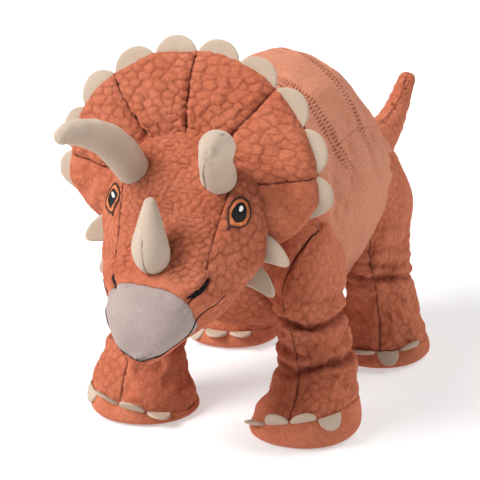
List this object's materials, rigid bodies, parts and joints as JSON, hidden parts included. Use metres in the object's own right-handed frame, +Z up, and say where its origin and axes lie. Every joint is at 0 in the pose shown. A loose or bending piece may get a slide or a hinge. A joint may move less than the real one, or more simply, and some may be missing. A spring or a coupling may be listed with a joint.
{
  "type": "plush dinosaur",
  "caption": "Stuffed four-legged horned dinosaur with a scalloped neck frill, soft brow and nose horns, felt toenails and a short tail.",
  "frame": {"origin": "on the floor under the middle of the toy's bounding box", "axes": "+Z up, the snout points to -Y, +X is the animal's left side"},
  "size_m": [0.203, 0.5008, 0.27],
  "materials": {
    "plush": "short pile plush embossed with a pebble pattern",
    "back_plush": "short pile plush with rows of pressed dashes",
    "velour": "smooth velour",
    "felt": "matte felt",
    "beak_plush": "short pile plush",
    "thread": "satin embroidery thread",
    "filling": "loose polyester fibre"
  },
  "bodies": {
    "torso": {"back_panel": "back_plush", "body_side_left": "plush", "body_side_right": "plush", "belly_panel": "plush", "body_filling": "filling"},
    "neck": {"neck_filling": "filling"},
    "head": {"forehead_panel": "plush", "cheek_panel_left": "plush", "cheek_panel_right": "plush", "jaw_panel": "plush", "beak_panel": "beak_plush", "head_filling": "filling", "mouth_embroidery": "thread", "nose_horn_cover": "velour", "nose_horn_filling": "filling", "frill_front": "plush", "frill_back": "plush", "frill_filling": "filling", "brow_horn_left_cover": "velour", "brow_horn_left_filling": "filling", "eye_left": "thread", "nostril_left": "thread", "cheek_spike_upper_left": "felt", "cheek_spike_lower_left": "felt", "frill_scallop_left_1": "felt", "frill_scallop_left_2": "felt", "frill_scallop_left_3": "felt", "frill_scallop_left_4": "felt", "frill_scallop_left_5": "felt", "brow_horn_right_cover": "velour", "brow_horn_right_filling": "filling", "eye_right": "thread", "nostril_right": "thread", "cheek_spike_upper_right": "felt", "cheek_spike_lower_right": "felt", "frill_scallop_right_1": "felt", "frill_scallop_right_2": "felt", "frill_scallop_right_3": "felt", "frill_scallop_right_4": "felt", "frill_scallop_right_5": "felt"},
    "front_leg_left": {"front_leg_left_cover": "plush", "front_leg_left_sole": "plush", "front_leg_left_filling": "filling", "front_leg_left_toenails": "felt"},
    "front_leg_right": {"front_leg_right_cover": "plush", "front_leg_right_sole": "plush", "front_leg_right_filling": "filling", "front_leg_right_toenails": "felt"},
    "rear_leg_left": {"rear_leg_left_cover": "plush", "rear_leg_left_sole": "plush", "rear_leg_left_filling": "filling", "rear_leg_left_toenails": "felt"},
    "rear_leg_right": {"rear_leg_right_cover": "plush", "rear_leg_right_sole": "plush", "rear_leg_right_filling": "filling", "rear_leg_right_toenails": "felt"},
    "tail": {"tail_cover": "plush", "tail_filling": "filling"}
  },
  "joints": [
    {"name": "neck_turn", "type": "hinge", "parent": "torso", "child": "neck", "pos_m": [0, -0.1322, 0.142], "axis": [0, 0, 1], "range_deg": [-14, 14], "stiffness_Nm_per_rad": 0.25},
    {"name": "head_nod", "type": "hinge", "parent": "neck", "child": "head", "pos_m": [0, -0.1322, 0.142], "axis": [1, 0, 0], "range_deg": [-12, 12], "stiffness_Nm_per_rad": 0.6},
    {"name": "front_leg_left_swing", "type": "hinge", "parent": "torso", "child": "front_leg_left", "pos_m": [0.055, -0.0892, 0.092], "axis": [1, 0, 0], "range_deg": [-20, 20], "stiffness_Nm_per_rad": 1.5},
    {"name": "front_leg_right_swing", "type": "hinge", "parent": "torso", "child": "front_leg_right", "pos_m": [-0.055, -0.0892, 0.092], "axis": [1, 0, 0], "range_deg": [-20, 20], "stiffness_Nm_per_rad": 1.5},
    {"name": "rear_leg_left_swing", "type": "hinge", "parent": "torso", "child": "rear_leg_left", "pos_m": [0.055, 0.0508, 0.101], "axis": [1, 0, 0], "range_deg": [-8, 20], "stiffness_Nm_per_rad": 1.5},
    {"name": "rear_leg_right_swing", "type": "hinge", "parent": "torso", "child": "rear_leg_right", "pos_m": [-0.055, 0.0508, 0.101], "axis": [1, 0, 0], "range_deg": [-8, 20], "stiffness_Nm_per_rad": 1.5},
    {"name": "tail_wag", "type": "hinge", "parent": "torso", "child": "tail", "pos_m": [0, 0.0938, 0.134], "axis": [0, 0, 1], "range_deg": [-13, 13], "stiffness_Nm_per_rad": 0.12}
  ]
}
